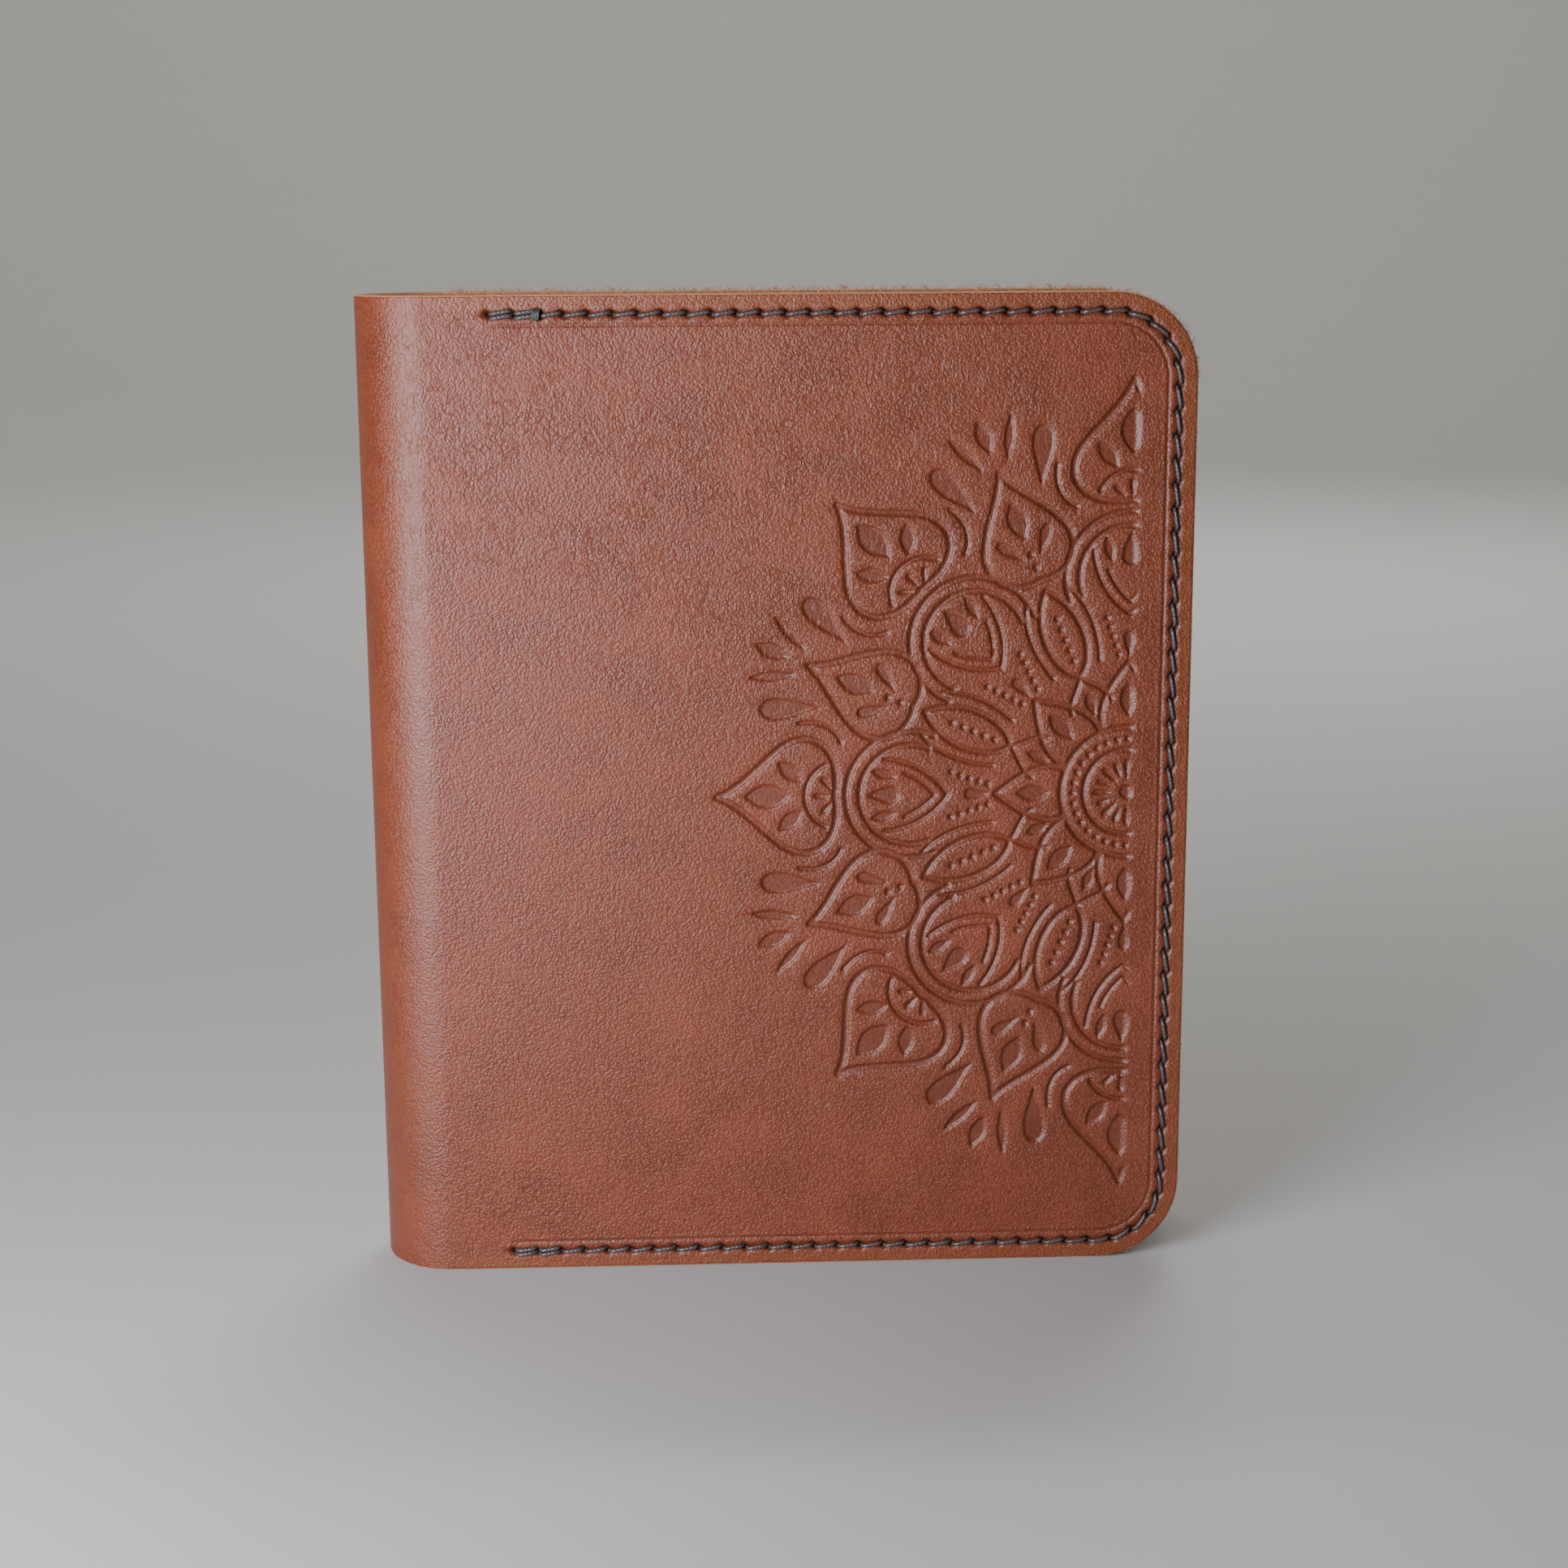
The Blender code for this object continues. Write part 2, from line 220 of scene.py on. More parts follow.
def tanned_leather(name, main, dark, light, pebble_mm, crease_share, roughness):
    """Vegetable-tanned cowhide, coloured through with dye in the drum and waxed: small domed pebbles with
    fine creases between them, cloudy colour where the waxing went deeper, and paler crease lines, which are
    a painted highlight on their raised edges."""
    material, add, shader = new_material(name)
    flat = add("UVMap", {"uv_map": "laid_flat"})
    multiply, scale_and_add = {"operation": "MULTIPLY"}, {"operation": "MULTIPLY_ADD"}
    subtract, stepped = {"operation": "SUBTRACT"}, {"interpolation_type": "SMOOTHSTEP"}
    blend, middle_grey = {"data_type": "RGBA"}, (0.5, 0.5, 0.5)

    # Pebbles, whose outlines wander instead of being straight cells.
    wander = add("TexNoise", inputs={"Vector": flat, "Scale": per_metre(1.1), "Detail": 2.0})
    centred = add("VectorMath", subtract, {0: wander.outputs["Color"], 1: middle_grey})
    shifted = add("VectorMath", scale_and_add, {0: centred, 1: (0.5 * MM, 0.5 * MM, 0.0), 2: flat})
    pebbles = add(
        "TexVoronoi", {"feature": "SMOOTH_F1"},
        {"Vector": shifted, "Scale": per_metre(pebble_mm), "Smoothness": 0.45, "Randomness": 1.0},
    )
    pores = add("TexNoise", inputs={"Vector": flat, "Scale": per_metre(0.22), "Detail": 3.0})

    # Hair-line creases, longer than wide, broken by gaps and gathered in patches.
    sway = add("TexNoise", inputs={"Vector": flat, "Scale": per_metre(1.5), "Detail": 3.0})
    sway_centred = add("VectorMath", subtract, {0: sway.outputs["Color"], 1: middle_grey})
    swayed = add("VectorMath", scale_and_add, {0: sway_centred, 1: (1.1 * MM, 1.0 * MM, 0.0), 2: flat})
    stretched = add(
        "Mapping", inputs={"Vector": swayed, "Rotation": (0.0, 0.0, radians(-10)), "Scale": (1.0, 0.3, 1.0)}
    )
    folds = add(
        "TexNoise", inputs={"Vector": stretched, "Scale": per_metre(3.0), "Detail": 3.0, "Roughness": 0.55}
    )
    fold_steps = add("Math", multiply, {0: folds, 1: 8.0})
    fold_distance = add("Math", {"operation": "PINGPONG"}, {0: fold_steps, 1: 0.5})
    crease_line = add(
        "MapRange", stepped,
        {"Value": fold_distance, "From Min": 0.0, "From Max": 0.14, "To Min": 1.0, "To Max": 0.0},
    )
    patch_noise = add(
        "TexNoise", inputs={"Vector": flat, "Scale": per_metre(16.0), "Detail": 3.0, "Roughness": 0.6}
    )
    patches = add("MapRange", stepped, {"Value": patch_noise, "From Min": 0.36, "From Max": 0.52})
    gap_noise = add("TexNoise", inputs={"Vector": flat, "Scale": per_metre(4.0), "Detail": 2.0})
    gaps = add("MapRange", stepped, {"Value": gap_noise, "From Min": 0.36, "From Max": 0.5})
    flexed = add("Attribute", {"attribute_name": "flexed"}).outputs["Fac"]
    worked = add("MapRange", inputs={"Value": flexed, "From Max": 0.7, "To Min": 0.12, "To Max": 1.0})
    gathered = add("Math", multiply, {0: patches, 1: gaps})
    patchy = add("Math", multiply, {0: gathered, 1: worked})
    creases = add("Math", multiply, {0: crease_line, 1: patchy})

    # Height: domes, pores and creases; pressing flattens the grain.
    pressed = add("Attribute", {"attribute_name": "pressed"}).outputs["Fac"]
    unpressed = add("MapRange", inputs={"Value": pressed, "To Min": 1.0, "To Max": 0.45})
    domes = add("Math", scale_and_add, {0: pebbles, 1: -1.05, 2: 0.75})
    grain = add("Math", scale_and_add, {0: pores, 1: 0.4, 2: domes})
    creased = add("Math", scale_and_add, {0: creases, 1: crease_share, 2: grain})
    relief = add("Math", multiply, {0: creased, 1: unpressed})
    bump = add("Bump", inputs={"Height": relief, "Strength": 1.0, "Distance": 0.11 * MM})

    # Colour: clouds of two browns; darker where pressed, with painted shade in the awl slits and round the
    # thread; paler on dome tops, and paler along creases as a painted highlight.
    clouds = add(
        "TexNoise", inputs={"Vector": flat, "Scale": per_metre(13.0), "Detail": 6.0, "Roughness": 0.62}
    )
    cloudy = add("MapRange", inputs={"Value": clouds, "From Min": 0.33, "From Max": 0.67})
    mottled = add("Mix", blend, {"Factor": cloudy, 6: opaque(dark), 7: opaque(main)}).outputs[2]
    dome_top_share = add(
        "MapRange", inputs={"Value": grain, "From Min": 0.35, "From Max": 0.9, "To Min": 0.0, "To Max": 0.24}
    )
    # Painted highlight: crease lines tinted paler, as if their raised edges caught the light; dome tops
    # paler too.
    crease_highlight_and_dome_share = add("Math", {**scale_and_add, "use_clamp": True}, {0: creases, 1: 0.2, 2: dome_top_share})
    paled = add("Mix", blend, {"Factor": crease_highlight_and_dome_share, 6: mottled, 7: opaque(light)}).outputs[2]
    rim = add("Attribute", {"attribute_name": "rim"}).outputs["Fac"]
    rim_share = add("Math", multiply, {0: rim, 1: 0.55})
    rimmed = add("Mix", blend, {"Factor": rim_share, 6: paled, 7: opaque(colours().worn_rim)}).outputs[2]
    # Darker where pressed; from the same attribute, painted shade in the awl slits and round the thread.
    pressing_and_shade_share = add("Math", multiply, {0: pressed, 1: 0.24})
    pressed_and_shaded = add("Mix", blend, {"Factor": pressing_and_shade_share, 6: rimmed, 7: opaque(dark, 0.35)}).outputs[2]
    gloss = add(
        "MapRange",
        inputs={"Value": clouds, "From Min": 0.3, "From Max": 0.7,
                "To Min": roughness - 0.05, "To Max": roughness + 0.07},
    )
    set_inputs(shader, {
        "Base Color": pressed_and_shaded, "Roughness": gloss, "Normal": bump,
        "Specular IOR Level": 0.55, "Coat Weight": 0.12, "Coat Roughness": 0.38,
    })
    return material


def fibrous_leather(name, colour, fibre_mm, height_mm, roughness):
    """The inside of the hide, shown where it is cut or split: matt, matted fibres, darker where they dip, a
    painted shade in the gaps, and in random blotches.
    """
    material, add, shader = new_material(name)
    flat = add("UVMap", {"uv_map": "laid_flat"})
    matted = {"Scale": per_metre(fibre_mm), "Detail": 5.0, "Roughness": 0.7, "Distortion": 0.8}
    fibres = add("TexNoise", inputs={"Vector": flat, **matted})
    blotches = add("TexNoise", inputs={"Vector": flat, "Scale": per_metre(7.0), "Detail": 3.0})
    # Painted shade: the colour darkens where the fibres dip, in the gaps between them; the blotches vary it
    # at random.
    both = add("Math", {"operation": "MULTIPLY_ADD"}, {0: blotches, 1: 0.5, 2: fibres})
    share = add("MapRange", inputs={"Value": both, "From Min": 0.5, "From Max": 1.0})
    mottled = add("Mix", {"data_type": "RGBA"}, {"Factor": share, 6: opaque(colour, 0.5), 7: opaque(colour)})
    bump = add("Bump", inputs={"Height": fibres, "Strength": 0.9, "Distance": height_mm * MM})
    set_inputs(shader, {"Base Color": mottled.outputs[2], "Roughness": roughness, "Normal": bump})
    return material


def waxed_thread(name, colour):
    """Round three-ply polyester, waxed. Noise paints its colour nearly black in places, a painted shade, and
    greyish in others, a painted highlight.
    """
    material, add, shader = new_material(name)
    place = add("TexCoord").outputs["Object"]
    sheen_and_lumps = add("TexNoise", inputs={"Vector": place, "Scale": per_metre(0.5), "Detail": 4.0})
    # Painted shade and painted highlight: the same colour, darkened to a third or brightened more than
    # twice, by noise.
    painted_sheen_and_shade = add("Mix", {"data_type": "RGBA"}, {"Factor": sheen_and_lumps, 6: opaque(colour, 0.3), 7: opaque(colour, 2.4)})
    bump = add("Bump", inputs={"Height": sheen_and_lumps, "Strength": 0.5, "Distance": 0.03 * MM})
    set_inputs(shader, {"Base Color": painted_sheen_and_shade.outputs[2], "Roughness": 0.3, "Normal": bump})
    return material


def finish_named(name, maker, *settings):
    """The material of that name, made the first time it is asked for."""
    return bpy.data.materials.get(name) or maker(name, *settings)


def cut_edge_finish():
    return finish_named("raw_cut_edge", fibrous_leather, colours().cut_edge, 0.35, 0.12, 0.75)


def sheet_finishes(name, main, dark, *settings):
    """The grain side, the cut edge and the flesh side, in the order of GRAIN, EDGE and FLESH."""
    tones = colours()
    return [
        finish_named(name, tanned_leather, main, dark, tones.cognac_light, *settings),
        cut_edge_finish(),
        finish_named("suede_flesh_side", fibrous_leather, tones.flesh, 0.5, 0.15, 0.92),
    ]


def cover_finishes():
    return sheet_finishes("waxed_cognac_cowhide", colours().cognac, colours().cognac_dark, 0.4, 1.2, 0.43)


def sleeve_finishes():
    return sheet_finishes("smooth_lining_cowhide", colours().lining, colours().lining_dark, 0.34, 0.35, 0.5)


# ---------------------------------------------------------------- the seam's line


class Seam:
    """The line of stitches: along the top, down the fore-edge and back along the bottom."""

    def __init__(self):
        size = sizes()
        self.corner = size.corner
        self.margin = FORE_X - (THREAD_HIGH.x - size.thread / 2)
        self.radius = self.corner - self.margin
        self.first_x = THREAD_LOW.x + HALF_HOLE
        self.corner_x = FORE_X - self.corner
        self.top_z = HEIGHT - self.corner
        self.straight = self.corner_x - self.first_x
        self.turn = self.radius * pi / 2
        self.upright = HEIGHT - 2 * self.corner
        self.length = 2 * (self.straight + self.turn) + self.upright
        self.stitches = round(self.length / size.pitch)
        self.pitch = self.length / self.stitches

    def coordinates(self, x, z):
        """Distance in from the cut edge, and length along the seam from its first hole."""
        right = np.maximum(x - self.corner_x, 0.0)
        above = np.maximum(z - self.top_z, 0.0)
        below = np.maximum(self.corner - z, 0.0)
        reach = np.hypot(right, above + below)
        inside = np.where(reach > 0, self.corner - reach, 1.0)
        fore = self.straight + self.turn + (self.top_z - z)
        tiny = 1e-12
        first_turn = self.straight + np.arctan2(right, np.maximum(above, tiny)) * self.radius
        top = np.where(right > 0, first_turn, x - self.first_x)
        under = self.straight + self.turn + self.upright
        second_turn = under + np.arctan2(below, np.maximum(right, tiny)) * self.radius
        bottom = np.where(right > 0, second_turn, under + self.turn + (self.corner_x - x))
        return inside, np.where(above > 0, top, np.where(below > 0, bottom, fore))

    def place(self, along, outwards=0.0):
        """The point at a length along the seam, moved towards the cut edge, and the direction of sewing."""
        radius = self.radius + outwards
        if along < self.straight:
            return self.first_x + along, self.top_z + radius, 1.0, 0.0
        along -= self.straight
        if along < self.turn:
            across, up = sin(along / self.radius), cos(along / self.radius)
            return self.corner_x + radius * across, self.top_z + radius * up, up, -across
        along -= self.turn
        if along < self.upright:
            return self.corner_x + radius, self.top_z - along, 0.0, -1.0
        along -= self.upright
        if along < self.turn:
            across, down = cos(along / self.radius), sin(along / self.radius)
            return self.corner_x + radius * across, self.corner - radius * down, -down, -across
        along -= self.turn
        return self.corner_x - along, self.corner - radius, -1.0, 0.0


def smooth(value):
    """0 below 0, 1 above 1, and a smooth step between."""
    value = np.clip(value, 0.0, 1.0)
    return value * value * (3 - 2 * value)


def seam_relief(seam, x, z):
    """How the sewing and the pressed border line shape the leather: height above the flat face, and how much
    the leather is darkened there, which is painted shade in the awl slits and round the thread, and a darker
    pressed border line."""
    inside, along = seam.coordinates(x, z)
    across = inside - seam.margin
    hole = np.round(along / seam.pitch)
    sewn = (hole >= 0) & (hole <= seam.stitches)
    from_hole = along - hole * seam.pitch
    nearness = np.cos(pi * from_hole / seam.pitch) ** 2
    # The pulled thread sinks into a seat, most of all at its holes, and the leather puffs up beside it.
    seat = -(0.10 + 0.16 * nearness) * MM * np.exp(-((across / (0.5 * MM)) ** 2))
    beside = (np.abs(across) - 1.05 * MM) / (0.45 * MM)
    puff = 0.07 * MM * (1 - nearness) * np.exp(-(beside**2))
    # Each awl slit leans, so the thread rises at one end of it and dives at the other.
    slant = radians(38)
    lengthwise = from_hole * cos(slant) + across * sin(slant)
    crosswise = across * cos(slant) - from_hole * sin(slant)
    slit = np.exp(-((lengthwise / (0.8 * MM)) ** 4) - (crosswise / (0.42 * MM)) ** 2)
    span = smooth(along / (2 * MM) + 0.5) * smooth((seam.length - along) / (2 * MM) + 0.5)
    line = (across - sizes().crease) / MM
    pressed_line = -0.13 * np.exp(-((line / 0.22) ** 2))
    raised_beside = 0.03 * np.exp(-(((line - 0.55) / 0.22) ** 2))
    border = span * MM * (pressed_line + raised_beside)
    height = np.where(sewn, seat + puff - 0.85 * MM * slit, 0.0) + border
    # Painted shade: dark in the awl slits and along the thread's seat, where the thread shades the leather.
    darkened = np.where(sewn, 4.2 * slit + np.exp(-((across / (0.6 * MM)) ** 2)), 0.0)
    return height, darkened + 0.5 * span * np.exp(-((line / 0.28) ** 2))


# ---------------------------------------------------------------- the rosette's design


def bezier(start, pull_start, pull_end, end, count=14):
    t = np.linspace(0.0, 1.0, count + 1)[:, None]
    a, b, c, d = (np.array(p, float) for p in (start, pull_start, pull_end, end))
    return a * (1 - t) ** 3 + 3 * b * t * (1 - t) ** 2 + 3 * c * t * t * (1 - t) + d * t**3


def ring_arc(centre, radius, start, end, count=20):
    angles = np.linspace(start, end, count + 1)
    return np.stack([centre[0] + radius * np.cos(angles), centre[1] + radius * np.sin(angles)], axis=1)


def leaf(base, tip, half_width):
    """A leaf that is pointed at both ends."""
    base, tip = np.array(base, float), np.array(tip, float)
    along = tip - base
    across = np.array([-along[1], along[0]]) / hypot(*along)
    t = np.linspace(0.0, 1.0, 13)[:, None]
    bulge = np.sin(pi * t) ** 0.9 * half_width
    return np.concatenate([base + along * t + across * bulge, (base + along * t - across * bulge)[-2:0:-1]])


def drop(point, round_end, width):
    """A drop from a point to a round end."""
    point, round_end = np.array(point, float), np.array(round_end, float)
    along = round_end - point
    across = np.array([-along[1], along[0]]) / hypot(*along)
    angle = np.linspace(0.0, 2 * pi, 25)[:-1, None]
    reach = (1 - np.cos(angle)) / 2
    return point + along * reach + across * np.sin(angle) * np.sin(angle / 2) ** 1.6 * width / 1.5


def disc(centre, radius, corners=10):
    return ring_arc(centre, radius, 0, 2 * pi, corners)[:-1]


def rosette_marks():
    """Grooves and hollows of one sixteenth of an eight-fold rosette, in millimetres: out along a main
    axis, then across it. The rest of the rosette repeats and mirrors them."""

    def polar(radius, degrees):
        return radius * cos(radians(degrees)), radius * sin(radians(degrees))

    def between(radius, aside=0.0):
        """A point on the axis half-way between two main ones, or aside from it."""
        x, y = polar(radius, 22.5)
        return x + aside * sin(radians(22.5)), y - aside * cos(radians(22.5))

    grooves, hollows = [], []
    # Eye: a disc, rays of drops, and a band of dots between two rings.
    hollows.append(disc((0, 0), 1.15, 16))
    hollows += [drop((2.3, 0), (5.5, 0), 1.0), drop(between(2.8), between(5.2), 0.85)]
    grooves += [(ring_arc((0, 0), 7.0, 0, pi / 8), 0.8), (ring_arc((0, 0), 10.7, 0, pi / 8), 0.9)]
    hollows += [disc(polar(8.85, degrees), 0.42) for degrees in (0, 11.25, 22.5)]
    # First petals, each with a leaf, and a second row of petals behind them.
    grooves.append((bezier(polar(11.0, 21), polar(15.0, 21.5), (17.6, 3.0), (21.4, 0)), 0.85))
    grooves.append((bezier(between(15.4, 3.4), between(17.4, 3.2), between(18.8, 1.0), between(20.4)), 0.7))
    hollows += [leaf((12.6, 0), (18.0, 0), 1.3), leaf(between(13.8), between(17.6), 0.85)]
    # Long leaves between the axes, with dotted ribs and a line drawn round them.
    grooves.append((bezier(between(20.6), between(22.7, 3.8), between(31.0, 4.6), between(35.6)), 0.85))
    outline = (between(22.0, 4.0), between(25.0, 5.2), between(31.5, 6.2), between(35.2, 3.2))
    grooves.append((bezier(*outline), 0.6))
    hollows += [disc(between(radius), 0.45) for radius in np.arange(23.4, 32.5, 1.85)]
    # A drop on each main axis, between two dotted lines that open outwards.
    hollows.append(drop((22.4, 0), (26.4, 0), 1.9))
    hollows += [disc((22.6 + 1.5 * i, 1.7 + 0.5 * i), 0.42) for i in range(5)]
    # Double scallops with a bud, curved blades and whiskers inside.
    grooves += [(ring_arc((35.2, 0), radius, 0, radians(112)), 0.85) for radius in (10.4, 8.2)]
    hollows += [drop((42.4, 0), (37.0, 0), 3.0), leaf((37.6, 3.0), (41.6, 4.0), 0.75)]
    grooves.append((bezier((29.2, 0.0), (31.4, 3.6), (35.4, 5.6), (39.4, 6.0)), 0.65))
    grooves.append((bezier((31.2, 0.0), (32.5, 1.5), (34.0, 2.7), (36.2, 3.6)), 0.5))
    # Second layer of petals, on the axes between, each with a leaf and a pair of drops.
    grooves.append((bezier(between(37.6), between(36.4, 4.8), between(40.6, 8.8), between(45.4, 6.6)), 0.95))
    grooves.append((bezier(between(45.4, 6.6), between(49.4, 4.8), between(52.0, 1.5), between(55.8)), 0.95))
    hollows += [leaf(between(44.6), between(51.0), 1.6), drop(between(41.4, 1.3), between(45.6, 4.4), 1.9)]
    hollows += [disc(between(radius), 0.5) for radius in (39.8, 42.0)]
    # Outer petals, pointed, with three leaves over a small dome that holds three seeds.
    grooves.append((bezier((47.4, 0), (46.0, 7.0), (50.6, 12.0), (56.2, 8.0)), 0.95))
    grooves.append((bezier((56.2, 8.0), (59.6, 5.4), (62.6, 1.4), (66.5, 0)), 0.95))
    grooves.append((ring_arc((46.6, 0), 5.6, 0, radians(66)), 0.7))
    hollows += [leaf((54.8, 0), (62.0, 0), 2.0), leaf((52.6, 2.4), (56.6, 5.6), 1.2)]
    hollows += [drop((48.0, 0), (50.8, 0), 1.0), drop((47.8, 1.0), (49.6, 2.9), 0.9)]
    # Blades that join the two layers of petals.
    grooves.append((bezier((46.4, 8.8), (47.2, 11.0), (49.6, 12.6), (53.2, 12.0)), 0.6))
    # Sprigs in the gaps of the rim.
    hollows += [leaf(between(59.4), between(65.0), 1.2), drop(between(51.6, 5.6), between(60.4, 9.6), 3.8)]
    hollows.append(leaf(between(57.4, 2.2), between(64.0, 5.4), 0.75))
    return grooves, hollows


def line_distance(px, py, line):
    """Distance of each point from a line of straight pieces."""
    nearest = np.full(px.shape, np.inf)
    for (ax, ay), (bx, by) in zip(line, line[1:]):
        dx, dy = bx - ax, by - ay
        t = np.clip(((px - ax) * dx + (py - ay) * dy) / (dx * dx + dy * dy + 1e-12), 0.0, 1.0)
        nearest = np.minimum(nearest, np.hypot(px - ax - t * dx, py - ay - t * dy))
    return nearest


def is_inside(px, py, outline):
    """Which points an outline holds."""
    held = np.zeros(px.shape, bool)
    for (ax, ay), (bx, by) in zip(outline, np.roll(outline, -1, axis=0)):
        crosses = (ay > py) != (by > py)
        held ^= crosses & (px < (bx - ax) * (py - ay) / (by - ay + 1e-12) + ax)
    return held


def rosette_depth(x, z):
    """How deep the rosette is pressed at each point, and how much the leather beside a groove is drawn
    down with it, both from 0 to 1."""
    size = sizes()
    centre_x, centre_z = FORE_X - size.rosette_inset, HEIGHT / 2
    scale = size.rosette / (66.5 * MM)
    depth, shoulder = np.zeros(x.shape), np.zeros(x.shape)
    near = (np.hypot(x - centre_x, z - centre_z) < size.rosette + MM) & (x < centre_x + 2.5 * MM)
    across, up = (centre_x - x[near]) / scale / MM, (z[near] - centre_z) / scale / MM
    radius = np.hypot(across, up)
    folded = np.abs((np.arctan2(up, across) + pi / 8) % (pi / 4) - pi / 8)
    px, py = radius * np.cos(folded), radius * np.sin(folded)
    found, drawn = np.zeros(px.shape), np.zeros(px.shape)
    # In millimetres, like the marks: the slope of a groove's wall, and how far its shoulder reaches.
    wall, shoulder_reach = 0.3, 1.5
    grooves, hollows = rosette_marks()
    for line, width in grooves + [(np.vstack([outline, outline[:1]]), 0.0) for outline in hollows]:
        margin = width / 2 + shoulder_reach
        low, high = line.min(0) - margin, line.max(0) + margin
        picked = np.flatnonzero((px > low[0]) & (px < high[0]) & (py > low[1]) & (py < high[1]))
        if not len(picked):
            continue
        distance = line_distance(px[picked], py[picked], line)
        if width == 0.0:
            distance = np.where(is_inside(px[picked], py[picked], line[:-1]), -distance, distance)
        outside = distance - width / 2
        found[picked] = np.maximum(found[picked], smooth(0.5 - outside / wall))
        drawn[picked] = np.maximum(drawn[picked], smooth(1 - outside / shoulder_reach) ** 1.5)
    # The stamp ends in a straight line just past the rosette's centre.
    end = smooth((1.5 - (x[near] - centre_x) / MM) / 1.4)
    depth[near] = found * end
    shoulder[near] = drawn * end
    return depth, shoulder


# ---------------------------------------------------------------- sheets of leather


def graded(*stops):
    """Values from the first stop to the last. Each stop is (value, largest step after it)."""
    values = []
    for (start, step), (end, _) in zip(stops, stops[1:]):
        count = max(1, ceil((end - start) / step - 1e-6))
        values += [start + (end - start) * i / count for i in range(count)]
    return np.array(values + [stops[-1][0]])


def falling(*stops):
    """Values from the first stop down to the last, graded in the same way."""
    return -graded(*((-value, step) for value, step in stops))


def make_piece(name, points, faces, face_slots, finishes, flat, sharp_from):
    """A mesh object whose faces look outwards, smooth up to the angle sharp_from. flat holds where each
    point lies on the leather or thread before it is bent or sewn."""
    mesh = bpy.data.meshes.new(name)
    mesh.from_pydata(points.tolist(), [], faces)
    mesh.polygons.foreach_set("material_index", np.array(face_slots, np.int32))
    for finish in finishes:
        mesh.materials.append(finish)
    solid = bmesh.new()
    solid.from_mesh(mesh)
    bmesh.ops.recalc_face_normals(solid, faces=solid.faces)
    solid.to_mesh(mesh)
    solid.free()
    loop_vertices = np.empty(len(mesh.loops), np.int32)
    mesh.loops.foreach_get("vertex_index", loop_vertices)
    laid_flat = mesh.uv_layers.new(name="laid_flat")
    laid_flat.data.foreach_set("uv", flat[loop_vertices].astype(np.float32).ravel())
    mesh.shade_smooth()
    mesh.set_sharp_from_angle(angle=sharp_from)
    piece = bpy.data.objects.new(name, mesh)
    bpy.context.scene.collection.objects.link(piece)
    return piece


class Sheet:
    """A sheet with thickness, gathered as patches of points (u, z, depth) and welded into one skin."""

    def __init__(self):
        self.points, self.quads, self.quad_slots, self.polygons, self.polygon_slots = [], [], [], [], []
        self.count = 0

    def add_points(self, u, z, depth):
        u, z, depth = np.broadcast_arrays(u, z, depth)
        self.points.append(np.stack([u.ravel(), z.ravel(), depth.ravel()], axis=1))
        index = np.arange(self.count, self.count + u.size).reshape(u.shape)
        self.count += u.size
        return index

    def add_patch(self, u, z, depth, slots):
        """A grid of points. slots holds the material of each stretch along its second direction."""
        index = self.add_points(u, z, depth)
        quads = np.stack([index[:-1, :-1], index[1:, :-1], index[1:, 1:], index[:-1, 1:]], axis=-1)
        self.quads.append(quads.reshape(-1, 4))
        self.quad_slots.append(np.broadcast_to(slots, quads.shape[:2]).ravel())
        return index

    def add_polygon(self, index, slot):
        self.polygons.append(list(index))
        self.polygon_slots.append(slot)

    def zip_lines(self, first, second, first_at, second_at, slot):
        """Triangles between two lines of points that run side by side, spaced differently."""
        i = j = 0
        while i < len(first) - 1 or j < len(second) - 1:
            step_first = j == len(second) - 1 or (i < len(first) - 1 and first_at[i + 1] <= second_at[j + 1])
            third = first[i + 1] if step_first else second[j + 1]
            self.add_polygon((first[i], second[j], third), slot)
            i, j = (i + 1, j) if step_first else (i, j + 1)

    def build(self, name, side, place, relief, finishes):
        """The mesh object. place turns (u, z, depth) into points. relief gives the height and what the
        leather's finish reads from each point."""
        points = np.concatenate(self.points)
        keys = np.round(points / 1e-7).astype(np.int64)
        _, first, welded = np.unique(keys, axis=0, return_index=True, return_inverse=True)
        welded = welded.ravel()
        u, z, depth = points[first].T
        height, marks = relief(u, z)
        skin = np.where(depth == 0.0, height, 0.0)
        corners = place(u, z, depth - skin)

        quads = welded[np.concatenate(self.quads)]
        slots = np.concatenate(self.quad_slots)
        repeats = (quads == np.roll(quads, -1, axis=1)).any(axis=1)
        faces = quads[~repeats].tolist()
        face_slots = slots[~repeats].tolist()
        outlines = quads[repeats].tolist() + [welded[polygon].tolist() for polygon in self.polygons]
        for outline, slot in zip(outlines, slots[repeats].tolist() + self.polygon_slots):
            kept = [corner for i, corner in enumerate(outline) if corner != outline[i - 1]]
            if len(kept) > 2:
                faces.append(kept)
                face_slots.append(slot)

        flat = np.stack([side * (u + depth), z + depth], axis=1)
        piece = make_piece(name, corners, faces, face_slots, finishes, flat, radians(62))
        for mark, values in marks.items():
            attribute = piece.data.attributes.new(mark, "FLOAT", "POINT")
            attribute.data.foreach_set("value", np.where(depth == 0.0, values, 0.0).astype(np.float32))
        return piece


